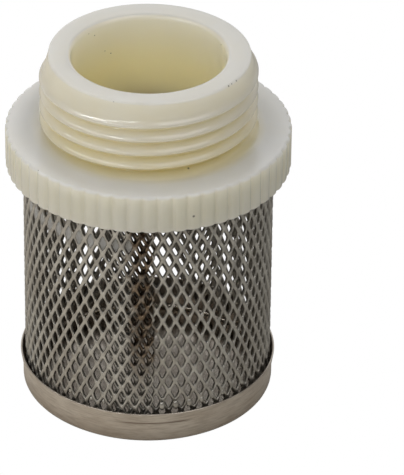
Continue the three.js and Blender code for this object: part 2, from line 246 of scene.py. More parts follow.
def turned_ring(corners, segments=128):
    """Points and faces of a ring turned from a closed outline of (r, z, radius) corners."""
    path = filleted(closed_corners(corners))[:-1]
    return turned_rows(path, segments).reshape(-1, 3), ring_faces(len(path), segments)


def with_poles(rows, first, last):
    """Points and faces of a solid: rows of points that each go round it, and one more point at either end."""
    count, columns = rows.shape[:2]
    start = count * columns
    end, last_row = start + 1, start - columns
    faces = ring_faces(count, columns, closed_rows=False)
    for j in range(columns):
        k = (j + 1) % columns
        faces += [(start, k, j), (end, last_row + j, last_row + k)]
    return [*rows.reshape(-1, 3), first, last], faces


def off_axis(path):
    """The points of an (r, z) path that don't lie on the axis."""
    return [p for p in path if p[0] > 1e-6]


def turned_solid(corners):
    """Points and faces of a solid of revolution. The first and last corners lie on the axis."""
    path = filleted(corners)
    return with_poles(turned_rows(off_axis(path)), (0, 0, path[0][1]), (0, 0, path[-1][1]))


def smoothstep(low, high, value):
    """0 at low and 1 at high, which may be the smaller of the two, with a soft start and end."""
    t = np.clip((value - low) / (high - low), 0, 1)
    return t * t * (3 - 2 * t)


def rounded_section(width, height, corner, steps):
    """Points of a rectangle whose corners are arcs of so many steps."""
    section = []
    for sx, sz, start in ((1, 1, 0), (-1, 1, 1), (-1, -1, 2), (1, -1, 3)):
        for k in range(steps + 1):
            a = (start + k / steps) * TURN / 4
            section.append((
                sx * (width / 2 - corner) + corner * math.cos(a),
                sz * (height / 2 - corner) + corner * math.sin(a),
            ))
    return section


def swept_faces(rows, columns, flipped=False):
    """Faces of a section swept along a route: its sides and both ends."""
    faces = ring_faces(rows, columns, closed_rows=False)
    faces.append(tuple(reversed(range(columns))))
    faces.append(tuple(range((rows - 1) * columns, rows * columns)))
    return [tuple(reversed(face)) for face in faces] if flipped else faces


def bent_bar(route, width, height, corner=0.18):
    """Points and faces of a bar with rounded edges along a route of (x, y, z) points in a plane through Z."""
    route = [Vector(p) for p in route]
    section = rounded_section(width, height, corner, 3)
    side = (route[-1] - route[0]).cross(Vector((0, 0, 1))).normalized()
    points = []
    for i, p in enumerate(route):
        along = (route[min(i + 1, len(route) - 1)] - route[max(i - 1, 0)]).normalized()
        up = side.cross(along).normalized()
        points += [tuple(p + side * s + up * t) for s, t in section]
    return points, swept_faces(len(route), len(section))


def joined(*shapes):
    """The points and faces of several shapes as one."""
    points, faces = [], []
    for shape_points, shape_faces in shapes:
        base = len(points)
        points += [tuple(p) for p in shape_points]
        faces += [tuple(v + base for v in f) for f in shape_faces]
    return points, faces


# ---- Materials -----------------------------------------------------------------------------------


class Nodes:
    """A node tree, with short calls for the nodes used here."""

    def __init__(self, owner):
        owner.use_nodes = True
        self.tree = owner.node_tree

    def add(self, kind, settings=None, **inputs):
        node = self.tree.nodes.new(kind)
        for key, value in (settings or {}).items():
            setattr(node, key, value)
        for key, value in inputs.items():
            self.put(node.inputs[key.replace("_", " ")], value)
        return node

    def put(self, socket, value):
        if isinstance(value, bpy.types.NodeSocket):
            self.tree.links.new(value, socket)
        else:
            socket.default_value = value

    def place(self):
        """The point being shaded, in metres, in the piece's own frame."""
        return self.add("ShaderNodeTexCoord").outputs["Object"]

    def scaled(self, vector, scale):
        return self.add("ShaderNodeMapping", Vector=vector, Scale=scale).outputs["Vector"]

    def noise(self, vector, scale, detail=3.0, roughness=0.5):
        node = self.add("ShaderNodeTexNoise", Vector=vector, Scale=scale, Detail=detail, Roughness=roughness)
        return node.outputs["Fac"]

    def attribute(self, name):
        """A number that set_attribute() gave to the piece's points."""
        return self.add("ShaderNodeAttribute", {"attribute_name": name}).outputs["Fac"]

    def math(self, operation, a, b=0.0):
        node = self.add("ShaderNodeMath", {"operation": operation})
        self.put(node.inputs[0], a)
        self.put(node.inputs[1], b)
        return node.outputs["Value"]

    def ranged(self, value, low, high, to_low=0.0, to_high=1.0, smooth=True):
        """A value mapped from one range to another, and held at its ends."""
        return self.add(
            "ShaderNodeMapRange", {"interpolation_type": "SMOOTHSTEP" if smooth else "LINEAR"},
            Value=value, From_Min=low, From_Max=high, To_Min=to_low, To_Max=to_high,
        ).outputs["Result"]

    def mix(self, factor, a, b, kind="RGBA"):
        """Two colours mixed, or two numbers when the kind is FLOAT."""
        node = self.add("ShaderNodeMix", {"data_type": kind})
        first = {"RGBA": 6, "FLOAT": 2}[kind]
        for index, value in ((0, factor), (first, a), (first + 1, b)):
            self.put(node.inputs[index], value)
        return node.outputs[{"RGBA": 2, "FLOAT": 0}[kind]]

    def bump(self, height, strength, distance):
        node = self.add("ShaderNodeBump", Height=height, Strength=strength, Distance=distance)
        return node.outputs["Normal"]

    def camera_sees(self, plain, lit, output):
        """Shows the camera a plain shader, while every other ray meets the lit one."""
        seen = self.add("ShaderNodeMixShader")
        camera_ray = self.add("ShaderNodeLightPath").outputs["Is Camera Ray"]
        for index, value in enumerate((camera_ray, lit, plain)):
            self.put(seen.inputs[index], value)
        self.put(self.tree.nodes[output].inputs["Surface"], seen.outputs["Shader"])

    def angle_and_height(self):
        """The angle from the front in radians and the height in metres, of the point being shaded."""
        xyz = self.add("ShaderNodeSeparateXYZ", Vector=self.place())
        toward_front = self.math("MULTIPLY", xyz.outputs["Y"], -1.0)
        return self.math("ARCTAN2", xyz.outputs["X"], toward_front), xyz.outputs["Z"]


class Surface(Nodes):
    """A new material's nodes."""

    def __init__(self, name):
        self.material = bpy.data.materials.new(name)
        super().__init__(self.material)
        self.shader = self.tree.nodes["Principled BSDF"]

    def set(self, **inputs):
        """Values or sockets for the shader's own inputs."""
        for key, value in inputs.items():
            self.put(self.shader.inputs[key.replace("_", " ")], value)


def rgb(r, g, b):
    return (r, g, b, 1.0)


def nylon():
    """Natural nylon: milky, with a few dark specks. Its depth is 0 to 1 outside, warmer as it grows, and
    falls from -1 at the bore's mouth to -2 deep inside, warmer again. That warmth is partly the nylon's own
    cream and partly painted light: warm glow through the nylon and bounce on the side faces, in the thread
    roots and in the bore, with the faces turned up left neutral. The flange is painted lighter than the neck,
    also painted light."""
    n = Surface("natural_nylon")
    place = n.place()
    depth = n.attribute("depth")
    cloud = n.noise(place, 140.0)
    # Painted glow: the depth makes the skin warmer, partly the nylon's own cream, partly painted warm light
    # through the nylon and bounced into side faces and recesses.
    cream_and_glow = n.math("ADD", depth, n.ranged(cloud, 0.3, 0.7, -0.06, 0.06))
    # Painted light: below the neck, on the flange, both skin colours are painted lighter, making up for the
    # shade the neck casts on the flange.
    neck = n.ranged(n.add("ShaderNodeSeparateXYZ", Vector=place).outputs["Z"], 0.0452, 0.050)
    pale = n.mix(neck, rgb(0.965, 0.945, 0.88), rgb(0.825, 0.808, 0.742))
    dull = n.mix(neck, rgb(0.945, 0.923, 0.855), rgb(0.805, 0.786, 0.72))
    skin = n.mix(n.ranged(n.noise(place, 60.0), 0.35, 0.65), pale, dull)
    color = n.mix(cream_and_glow, skin, rgb(0.85, 0.732, 0.44))
    # Painted glow: the bore is painted yellower the deeper it goes, for light through its wall and bounced
    # inside; partly the nylon's cream.
    color = n.mix(n.ranged(depth, 0.0, -0.95), color, rgb(0.925, 0.84, 0.65))
    color = n.mix(n.ranged(depth, -1.0, -1.9), color, rgb(0.95, 0.80, 0.48))
    for angle, radius, height, size in SPECKS:
        off = n.add("ShaderNodeVectorMath", {"operation": "DISTANCE"})
        n.put(off.inputs[0], place)
        n.put(off.inputs[1], Vector((radius * math.sin(angle), -radius * math.cos(angle), height)) * MM)
        near = n.ranged(off.outputs["Value"], 0.4 * size * MM, size * MM, 0.85, 0.0)
        color = n.mix(near, color, rgb(0.10, 0.085, 0.065))
    waves = n.noise(n.scaled(place, (1, 1, 2.5)), 90.0, 2.0)
    n.set(
        Base_Color=color, Roughness=n.ranged(n.noise(place, 500.0), 0.3, 0.7, 0.12, 0.18), IOR=1.53,
        Specular_IOR_Level=0.85, Subsurface_Weight=1.0, Subsurface_Scale=0.0095,
        Subsurface_Radius=(1.0, 0.97, 0.92), Normal=n.bump(waves, 0.2, 0.0002),
    )
    return n.material


def expanded_steel():
    """Flattened expanded stainless sheet: satin and faintly mottled, with the cut edges of its openings
    painted dark as painted shade, and a brown heat tint along the seam."""
    n = Surface("expanded_steel")
    place = n.place()
    angle, height = n.angle_and_height()
    cut = n.attribute("shaded_cut_edge")
    mottle = n.noise(place, 560.0, 4.0, 0.65)
    steel = n.mix(n.ranged(mottle, 0.3, 0.7), rgb(0.37, 0.357, 0.33), rgb(0.64, 0.625, 0.58))
    patch = n.ranged(n.noise(place, 110.0, 2.0), 0.42, 0.68)
    steel = n.mix(n.math("MULTIPLY", patch, 0.3), steel, rgb(0.36, 0.32, 0.27))
    # Painted shade: the cut edges inside the openings are painted dark.
    steel = n.mix(n.math("MULTIPLY", cut, 0.6), steel, rgb(0.10, 0.088, 0.072))
    ragged = n.ranged(n.noise(place, 520.0, 3.0), 0.3, 0.7, -0.05, 0.05, smooth=False)
    seam = -0.03  # the seam's angle
    off_seam = n.math("ABSOLUTE", n.math("ADD", n.math("ADD", angle, -seam), ragged))
    beside = n.ranged(off_seam, 0.055, 0.13, 1.0, 0.0)
    upward = n.ranged(height, 0.008, 0.018)
    blotch = n.ranged(n.noise(place, 700.0, 2.0), 0.25, 0.6, 0.6, 1.0)
    tint = n.math("MULTIPLY", n.math("MULTIPLY", beside, upward), blotch)
    grime = n.ranged(n.noise(place, 900.0), 0.35, 0.65)
    burnt = n.mix(grime, rgb(0.025, 0.014, 0.008), rgb(0.24, 0.18, 0.125))
    n.set(
        Base_Color=n.mix(tint, steel, burnt), Metallic=1.0,
        Roughness=n.ranged(mottle, 0.25, 0.75, 0.34, 0.5),
        Normal=n.bump(n.noise(place, 1900.0, 2.0), 0.45, 0.00007),
    )
    return n.material


def pressed_steel():
    """The cap's stainless sheet: spun, so its fine lines run round the axis. Its underside is smoother.
    Its inside and the foot of its wall are painted darker: painted shade.
    """
    n = Surface("pressed_steel")
    place = n.place()
    angle, height = n.angle_and_height()
    stretched = n.math("MULTIPLY", angle, 0.0018)
    around = n.add("ShaderNodeCombineXYZ", X=stretched, Y=0.0, Z=height).outputs["Vector"]
    lines = n.noise(around, 3200.0, 4.0, 0.7)
    cloud = n.noise(n.scaled(place, (1, 1, 2.2)), 130.0)
    steel = n.mix(n.ranged(cloud, 0.3, 0.7), rgb(0.53, 0.47, 0.405), rgb(0.65, 0.60, 0.535))
    steel = n.mix(n.math("MULTIPLY", n.ranged(lines, 0.4, 0.66), 0.45), steel, rgb(0.27, 0.22, 0.18))
    steel = n.mix(n.math("MULTIPLY", n.attribute("crease"), 0.8), steel, rgb(0.13, 0.085, 0.055))
    # Painted shade: the inside of the cup is painted darker.
    steel = n.mix(n.math("MULTIPLY", n.attribute("inside"), 0.65), steel, rgb(0.18, 0.155, 0.13))
    # Painted shade: the wall is painted darker towards the floor.
    steel = n.mix(n.ranged(height, 0.0006, 0.0034, 0.42, 0.0), steel, rgb(0.18, 0.15, 0.12))
    wall = n.ranged(height, 0.0005, 0.0012)
    satin = n.ranged(cloud, 0.25, 0.75, 0.3, 0.42)
    n.set(
        Base_Color=steel, Metallic=1.0, Roughness=n.mix(wall, 0.16, satin, "FLOAT"),
        Normal=n.bump(lines, 0.1, 0.00003),
    )
    return n.material


def turned_plastic(name, light, dark, roughness):
    """A plastic part with faint tool lines round the axis."""
    n = Surface(name)
    place = n.place()
    xyz = n.add("ShaderNodeSeparateXYZ", Vector=place)
    squares = [n.math("POWER", xyz.outputs[axis], 2.0) for axis in ("X", "Y")]
    radius = n.math("POWER", n.math("ADD", *squares), 0.5)
    rings = n.add("ShaderNodeCombineXYZ", X=radius, Y=0.0, Z=xyz.outputs["Z"]).outputs["Vector"]
    lines = n.noise(rings, 5200.0, 2.0)
    color = n.mix(n.ranged(n.noise(place, 180.0), 0.35, 0.65), light, dark)
    n.set(
        Base_Color=color, Roughness=n.ranged(lines, 0.3, 0.7, roughness, roughness + 0.1),
        Subsurface_Weight=0.2, Subsurface_Scale=0.001, Normal=n.bump(lines, 0.15, 0.00003),
    )
    return n.material


def nitrile():
    """Black seal rubber with a faint bloom."""
    n = Surface("nitrile_rubber")
    place = n.place()
    bloom = n.ranged(n.noise(place, 260.0, 4.0), 0.4, 0.7)
    n.set(
        Base_Color=n.mix(bloom, rgb(0.018, 0.018, 0.019), rgb(0.04, 0.04, 0.04)),
        Roughness=n.ranged(bloom, 0.0, 1.0, 0.5, 0.68),
        Normal=n.bump(n.noise(place, 2400.0, 2.0), 0.2, 0.00005),
    )
    return n.material


def spring_wire():
    """Bright spring steel, for the spring and the snap ring."""
    n = Surface("spring_steel_wire")
    place = n.place()
    draw = n.noise(n.scaled(place, (1, 1, 3)), 1500.0)
    n.set(
        Base_Color=n.mix(n.ranged(draw, 0.3, 0.7), rgb(0.60, 0.60, 0.59), rgb(0.74, 0.73, 0.71)),
        Metallic=1.0, Roughness=n.ranged(draw, 0.3, 0.7, 0.2, 0.32), Normal=n.bump(draw, 0.1, 0.00003),
    )
    return n.material


NYLON = nylon()
EXPANDED_STEEL = expanded_steel()
PRESSED_STEEL = pressed_steel()
ACETAL = turned_plastic("white_acetal", rgb(0.83, 0.83, 0.81), rgb(0.78, 0.78, 0.76), 0.34)
RUBBER = nitrile()
SPRING_STEEL = spring_wire()


# ---- Collar --------------------------------------------------------------------------------------


def thread_profile(phase):
    """Height of a rounded pipe thread, 0 at the root and 1 at the crest; phase is 0 at a crest. The upper
    side of each crest is worn to a soft shoulder."""
    phase = (phase + 0.5) % 1 - 0.5
    shouldered = 1 - 0.22 * smoothstep(0, 0.26, phase) - 0.78 * smoothstep(0.19, 0.5, phase)
    return np.where(phase > 0, shouldered, 0.5 + 0.5 * np.cos(TURN * phase))


def below_last_crest(angle, z):
    """Radius of the thread whose uppermost crest is at TOP_CREST at angle 0 and climbs with the angle."""
    above = z - TOP_CREST - THREAD_PITCH * angle / TURN
    height = THREAD_CREST_R - THREAD_ROOT_R
    threaded = THREAD_ROOT_R + height * thread_profile(above / THREAD_PITCH)
    blunt, shoulder, foot = 0.4, 0.5, 0.08  # sizes of the crest's curve, its shoulder and the cone's foot
    lead_in = THREAD_CREST_R - LEAD_IN_SLOPE * (np.sqrt(above ** 2 + blunt ** 2) - blunt)
    lead_in -= LAST_SHOULDER * (1 - np.exp(-(np.maximum(above, 0) / shoulder) ** 2))
    lead_in = THREAD_ROOT_R + foot * np.log1p(np.exp((lead_in - THREAD_ROOT_R) / foot))
    return np.where(above > 0, np.minimum(lead_in, THREAD_CREST_R), threaded)


def neck_radius(angle, z):
    """The thread with its lead-in: at the back left the last groove fades out into the lead-in cone."""
    fade = smoothstep(FADE_FROM, FADE_TO, angle)
    return (1 - fade) * below_last_crest(angle + TURN, z) + fade * below_last_crest(angle, z)


def notch(share):
    """How deep a serration's edge is cut, 0 to 1, at a place from -0.5 to 0.5 across it, notch to notch."""
    into_notch = smoothstep(0.5 - NOTCH_SHARE / 2, 0.5, np.abs(share))
    return 0.72 * into_notch + 0.28 * (2 * share) ** 2


class CollarRows:
    """The collar's skin as rows of points round the axis, each with its depth for the nylon's colour: partly
    the nylon's cream, partly painted light.
    """

    def __init__(self):
        stations = np.array(SERRATION_STATIONS)
        turns = ((np.arange(SERRATIONS)[:, None] + stations) / SERRATIONS).reshape(-1)
        self.angles = (turns * TURN + FIRST_SERRATION + math.pi) % TURN - math.pi
        self.cut = np.tile(notch(stations), SERRATIONS)
        self.rows, self.cream_and_glow_depths = [], []

    def add(self, radius, z, depth):
        """One more row; the radius and the depth may differ from angle to angle."""
        shape = self.angles.shape
        a = self.angles + FRONT
        self.rows.append(np.stack([radius * np.cos(a), radius * np.sin(a), np.broadcast_to(z, shape)], -1))
        self.cream_and_glow_depths.append(np.broadcast_to(depth, shape))

    def underside(self):
        """The hub, the ring left out of the thick flange, and the slot that grips the mesh."""
        path = filleted([
            (LEDGE_R, (HUB_BOTTOM + LEDGE) / 2, 0), (LEDGE_R, HUB_BOTTOM, 0.2), (12.4, HUB_BOTTOM, 0.2),
            (13.0, HUB_BOTTOM + 0.6, 0.2), (13.0, SKIRT_BOTTOM, 0.2), (RECESS_INNER_R, SKIRT_BOTTOM, 0.2),
            (RECESS_INNER_R, RECESS_TOP, 0.3), (RECESS_OUTER_R, RECESS_TOP, 0.3),
            (RECESS_OUTER_R, SKIRT_BOTTOM, 0.2), (SLOT_INNER_R, SKIRT_BOTTOM, 0.2),
            (SLOT_INNER_R, SLOT_TOP, 0), (SLOT_OUTER_R, SLOT_TOP, 0), (SLOT_OUTER_R, FLANGE_BOTTOM, 0.12),
            (FLANGE_R - 1.0, FLANGE_BOTTOM, 0),
        ], 3)
        for r, z in path:
            self.add(r, z, 0.6)

    def flange(self):
        """The serrated edge, with a small rounding below and a larger one above, and the top face."""
        low_round, high_round = 0.25, 0.5
        for degrees in range(-90, 1, 30):
            a = math.radians(degrees)
            z = FLANGE_BOTTOM + low_round * (1 + math.sin(a))
            self.add(FLANGE_R - low_round * (1 - math.cos(a)) - NOTCH_DEPTH * self.cut, z, 0.6)
        for z in (FLANGE_BOTTOM + 1.5, (FLANGE_BOTTOM + SHOULDER) / 2, SHOULDER - 1.4):
            self.add(FLANGE_R - NOTCH_DEPTH * self.cut, z, 0.6)
        # Over the upper rounding the depth falls, so the side is painted warmer than the upturned top face:
        # partly painted light.
        for degrees in range(0, 91, 18):
            a = math.radians(degrees)
            z = SHOULDER - high_round * (1 - math.sin(a))
            cut = NOTCH_DEPTH * self.cut * (1 - 0.45 * math.sin(a) ** 3)
            self.add(FLANGE_R - high_round * (1 - math.cos(a)) - cut, z, 0.6 - 0.55 * math.sin(a))
        self.add(FLANGE_R - high_round - 0.2 - 0.12 * self.cut, SHOULDER, 0.04)
        self.add(FLANGE_R - high_round - 0.7, SHOULDER, 0.03)
        self.add(THREAD_CREST_R + 2.4, SHOULDER, 0.05)
        self.add(THREAD_CREST_R + 1.4, SHOULDER, 0.12)

    def neck(self):
        """A fillet from the flange, the thread, and the rounded outer edge of the end face."""
        for degrees in range(0, 91, 18):
            a = math.radians(degrees)
            z = SHOULDER + NECK_FILLET * (1 - math.cos(a))
            radius = neck_radius(self.angles, z) + NECK_FILLET * (1 - math.sin(a))
            self.add(radius, z, 0.48 + 0.47 * math.sin(a))
        step = 0.15
        for z in np.arange(SHOULDER + NECK_FILLET + step, TOP - NECK_EDGE - 0.05, step):
            radius = neck_radius(self.angles, z)
            crest = (radius - THREAD_ROOT_R) / (THREAD_CREST_R - THREAD_ROOT_R)
            # Painted glow and shade: the thread's roots and its foot by the flange get warmer, its crests and
            # the lead-in paler; partly the nylon's cream.
            low, high = smoothstep(49.5, 46.5, z), smoothstep(49, 55, z)
            self.add(radius, z, 0.72 - 0.2 * crest - 0.3 * high + 0.3 * low)
        for k in range(5):
            a = math.radians(22.5 * k)
            radius = neck_radius(self.angles, TOP - NECK_EDGE) - NECK_EDGE * (1 - math.cos(a))
            self.add(radius, TOP - NECK_EDGE * (1 - math.sin(a)), 0.25 - 0.22 * math.sin(a))
        self.add(THREAD_ROOT_R - NECK_EDGE - 0.2, TOP, 0.03)

    def bore(self):
        """The bore's mouth, wall and snap ring groove, down to the ledge of the valve insert."""
        groove_top, groove_bottom = SNAP_MIDDLE + 0.4, SNAP_MIDDLE - 0.4
        wall = [(BORE_R, z, 0) for z in np.linspace(TOP - 1.5, groove_top + 0.8, 8)]
        path = filleted([
            (13.4, TOP, 0), (BORE_R, TOP, BORE_MOUTH), *wall, (BORE_R, groove_top, 0.05),
            (SNAP_GROOVE_R, groove_top, 0), (SNAP_GROOVE_R, groove_bottom, 0), (BORE_R, groove_bottom, 0.05),
            (BORE_R, LEDGE, 0.1), (LEDGE_R, LEDGE, 0.1), (LEDGE_R, (HUB_BOTTOM + LEDGE) / 2 + 0.1, 0),
        ], 5)
        # Painted glow: the bore's wall gets a depth falling from -1 to -2 downwards, which the nylon paints
        # yellower, standing in for light through the wall and bounced inside.
        for r, z in path:
            inside = 1 - smoothstep(BORE_R, BORE_R + 0.6, r)
            self.add(r, z, 0.03 - inside * (1 + smoothstep(TOP + 1, TOP - 12, z)))


def collar():
    """The moulded collar as one closed skin."""
    skin = CollarRows()
    skin.underside()
    skin.flange()
    skin.neck()
    skin.bore()
    piece = add_piece(
        "moulded_collar", np.array(skin.rows).reshape(-1, 3), ring_faces(len(skin.rows), len(skin.angles)),
        NYLON, HOUSING, "nylon", ["threaded_collar"])
    set_attribute(piece, "depth", skin.cream_and_glow_depths)


# ---- Strainer basket -----------------------------------------------------------------------------


def sheet_radius(along):
    """Radius of the sheet's outer skin. The sheet starts under its own other end, a little more than one
    thickness further in, and steps out beyond the lap."""
    return SLEEVE_R - (SHEET + LAP_STEP) * (1 - smoothstep(0.0, LAP_RUN, along))


def on_sheet(along, z, depth):
    """A point so far along the sheet, as an angle from the front, and so deep below its outer skin."""
    r = sheet_radius(along) - depth
    a = FRONT + along
    return (r * math.cos(a), r * math.sin(a), z)


def on_lattice(x, y):
    """The angle along the sheet and the height of a place given in half columns and half rows."""
    along = -LAP + (x + 2 * FIRST_COLUMN) * COLUMN / 2
    return along, SLEEVE_LOW[2] + (y + FIRST_ROW + ROW_RISE * along / TURN) * HALF_HEIGHT


def hole_outline():
    """Points of a rounded diamond, as shares of the cell's half width and half height."""
    outline = []
    for k in range(OUTLINE_POINTS):
        a = TURN * k / OUTLINE_POINTS
        c, s = math.cos(a), math.sin(a)
        size = (abs(c) ** HOLE_SQUARENESS + abs(s) ** HOLE_SQUARENESS) ** (-1 / HOLE_SQUARENESS)
        outline.append((HOLE_WIDTH * size * c, HOLE_HEIGHT * size * s))
    return outline


def cell_outline():
    """As many points on the cell's own diamond, placed so that neighbours share them."""
    outline = []
    quarter = OUTLINE_POINTS // 4
    tips = [(1, 0), (0, 1), (-1, 0), (0, -1), (1, 0)]
    for q in range(4):
        (x0, y0), (x1, y1) = tips[q], tips[q + 1]
        for k in range(quarter):
            t = k / quarter
            outline.append((x0 + (x1 - x0) * t, y0 + (y1 - y0) * t))
    return outline


def lattice():
    """The expanded sheet. Every opening is a cell of its own; cells share their diamond-shaped borders."""
    hole, cell = hole_outline(), cell_outline()
    n = len(cell)
    points, edge_shades, faces = [], [], []
    shared = {}  # indices of the border points by place
    columns = round((TURN + LAP) / COLUMN)
    # The opening's size as a share of the cell, depth below the skin, and how much painted shade its cut edge
    # gets.
    loops = ((0.735, 0.0, 0.0), (0.68, 0.06, 0.6), (0.59, SHEET - 0.06, 1.0), (0.63, SHEET, 0.5))

    def border(x, y, depth):
        key = (round(x * 6), round(y * 6), depth)
        if key not in shared:
            shared[key] = len(points)
            points.append(on_sheet(*on_lattice(x, y), depth))
            edge_shades.append(0.0)
        return shared[key]

    outer_edges = {}  # edges of the front face that only one cell has, with those behind them
    for row in range(1, HOLE_ROWS + 1):
        for column in range(columns):
            cx = 2 * column + 1 + (row % 2)
            front = [border(cx + x, row + y, -STRAND_CROWN) for x, y in cell]
            rings = [front]
            for share, depth, cut in loops:
                start = len(points)
                for x, y in hole:
                    lean = STRAND_TILT * math.sin(math.atan2(y, x))
                    points.append(on_sheet(*on_lattice(cx + share * x, row + share * y), depth + lean))
                    edge_shades.append(cut)
                rings.append(list(range(start, start + n)))
            rings.append([border(cx + x, row + y, SHEET) for x, y in cell])
            for a, b in zip(rings, rings[1:]):
                for k in range(n):
                    m = (k + 1) % n
                    faces.append((a[k], a[m], b[m], b[k]))
            for k in range(n):
                m = (k + 1) % n
                edge = (front[k], front[m])
                if (edge[1], edge[0]) in outer_edges:
                    del outer_edges[edge[1], edge[0]]
                else:
                    outer_edges[edge] = (rings[-1][k], rings[-1][m])
    for (a, b), (c, d) in outer_edges.items():
        faces.append((b, a, c, d))
    return points, faces, edge_shades


def bead(angle, size):
    """A rounded, stretched drop on the outside of the sheet, just above the cap's lip."""
    rings, sides = 7, 12
    centre_r = SLEEVE_R - 0.05

    def point(outward, sideways, upward):
        r = centre_r + size * BEAD_THICK * outward
        turn = FRONT + angle + size * BEAD_WIDE * sideways / centre_r
        return (r * math.cos(turn), r * math.sin(turn), BEAD_Z + size * BEAD_TALL * upward)

    rows = []
    for i in range(1, rings):
        up = math.pi * i / rings
        reach = math.sin(up)
        around = (TURN * k / sides for k in range(sides))
        rows.append([point(reach * math.cos(a), reach * math.sin(a), -math.cos(up)) for a in around])
    return with_poles(np.array(rows), point(0, 0, -1), point(0, 0, 1))


def sleeve():
    """The basket of expanded metal, with its beads."""
    points, faces, edge_shades = lattice()
    drops = [bead(math.radians(degrees), size) for degrees, size in BEADS]
    points, faces = joined((points, faces), *drops)
    edge_shades += [0.0] * (len(points) - len(edge_shades))
    piece = add_piece("expanded_mesh", points, faces, EXPANDED_STEEL, HOUSING, "mesh_steel", ["mesh_sleeve"])
    set_attribute(piece, "shaded_cut_edge", edge_shades)


def flash():
    """Nylon that has run out of the collar and fills a row of the openings at the left."""
    outline = hole_outline()
    loops = ((0.5, 0.0), (0.76, 0.08), (0.8, 0.9), (0.5, 1.3))  # size as a share of the cell, and depth
    plugs = []
    for cx in range(1, int(2 * (TURN + LAP) / COLUMN), 2):
        angle = on_lattice(cx, FLASH_ROW)[0] - TURN
        if not FLASH_FROM < angle < FLASH_TO:
            continue
        sunk = 0.02 + 0.3 * float(smoothstep(math.radians(-30), math.radians(-12), angle))
        points = []
        for share, depth in loops:
            for x, y in outline:
                lean = 0.7 * STRAND_TILT * math.sin(math.atan2(y, x))
                place = on_lattice(cx + share * x, FLASH_ROW + share * y)
                points.append(on_sheet(*place, sunk + depth + lean))
        plugs.append((points, swept_faces(len(loops), len(outline), flipped=True)))
    add_piece("nylon_flash", *joined(*plugs), NYLON, HOUSING, "nylon")


def cap_path():
    """The cup's outline from the middle of its underside over the lip to the middle of its floor, with many
    points up the wall, where the crease is."""
    lip_r, height = CAP_HIGH[0], CAP_HIGH[2]
    path = filleted([
        (0, 0, 0), (CAP_R, 0, 1.1), (CAP_R, 3.0, 1.5), (lip_r, height, 0.12),
        (lip_r - CAP_WALL, height, 0.12), (CAP_R - CAP_WALL, 3.1, 1.5), (CAP_R - CAP_WALL, CAP_WALL, 0.8),
        (0, CAP_WALL, 0),
    ], 6)
    dense = []
    for (r0, z0), (r1, z1) in zip(path, path[1:]):
        pieces = max(1, round(abs(z1 - z0) / 0.12)) if r0 > CAP_R - 1 else 1
        dense += [(r0 + (r1 - r0) * k / pieces, z0 + (z1 - z0) * k / pieces) for k in range(pieces)]
    return off_axis(dense)


def cap():
    """The pressed cup: rounded corner, slightly flared mouth with a thin rolled edge, and a crease in front
    of a wall that isn't quite round."""
    segments = 300
    angles = (np.arange(segments) * TURN / segments + math.pi) % TURN - math.pi
    window = smoothstep(-0.26, -0.12, angles) * (1 - smoothstep(0.28, 0.42, angles))
    crease_z = CREASE_Z - 0.25 * np.cos(2.2 * (angles - 0.08))
    wander = 0.025 * np.sin(3 * angles + 0.6) + 0.02 * np.sin(5 * angles + 2.0)
    rows, creases, inner_shades = [], [], []
    past_lip = False
    for r, z in cap_path():
        crease = window * np.exp(-((z - crease_z) / CREASE_WIDTH) ** 2)
        radius = r + (wander - CREASE_DEPTH * crease) * smoothstep(CAP_R - 1.2, CAP_R - 0.4, r)
        a = angles + FRONT
        rows.append(np.stack([radius * np.cos(a), radius * np.sin(a), np.full(segments, z)], -1))
        creases.append(crease * (r > CAP_R - 0.2))
        # Where the cup's inside is, which pressed_steel() paints darker as painted shade.
        inside = past_lip and z > CAP_WALL + 0.3 and r < CAP_HIGH[0] - CAP_WALL / 2
        inner_shades.append(np.full(segments, float(inside)))
        past_lip = past_lip or z > CAP_HIGH[2] - 0.05
    shape = with_poles(np.array(rows), (0, 0, 0), (0, 0, CAP_WALL))
    piece = add_piece("pressed_cap", *shape, PRESSED_STEEL, HOUSING, "cap_steel", ["end_cap"])
    poles = (0, 0)
    set_attribute(piece, "crease", [*np.array(creases).reshape(-1), *poles])
    set_attribute(piece, "inside", [*np.array(inner_shades).reshape(-1), *poles])


# ---- Check valve insert --------------------------------------------------------------------------


def seat_body():
    """The ring with the valve seat, a groove round it for the O-ring and a raised lip for the seal."""
    wall = BODY_HIGH[0]
    floor, top = BODY_LOW[2], BODY_HIGH[2]
    groove_r, groove_low, groove_high = 10.2, floor + 0.55, floor + 2.35
    port_r, seat, lip = 7.0, floor + 2.9, floor + 3.3
    shape = turned_ring([
        (port_r, floor, 0.3), (wall, floor, 0.3), (wall, groove_low, 0.08), (groove_r, groove_low, 0.08),
        (groove_r, groove_high, 0.08), (wall, groove_high, 0.08), (wall, top, 0.1), (10.5, top, 0.1),
        (10.5, seat, 0.3), (8.2, seat, 0.1), (8.0, lip, 0.08), (7.2, lip, 0.08), (port_r, seat, 0.08),
    ])
    add_piece("seat_body", *shape, ACETAL, HOUSING, "acetal", ["valve_body"])


def o_ring():
    """The O-ring in the seat body's groove."""
    section = (O_RING_HIGH[2] - O_RING_LOW[2]) / 2
    centre_r, centre_z = O_RING_HIGH[0] - section, (O_RING_HIGH[2] + O_RING_LOW[2]) / 2
    sides = 20
    around = (TURN * k / sides for k in range(sides))
    rows = turned_rows([(centre_r + section * math.cos(a), centre_z + section * math.sin(a)) for a in around])
    shape = rows.reshape(-1, 3), ring_faces(*rows.shape[:2])
    add_piece("o_ring", *shape, RUBBER, HOUSING, "rubber", ["body_o_ring"])


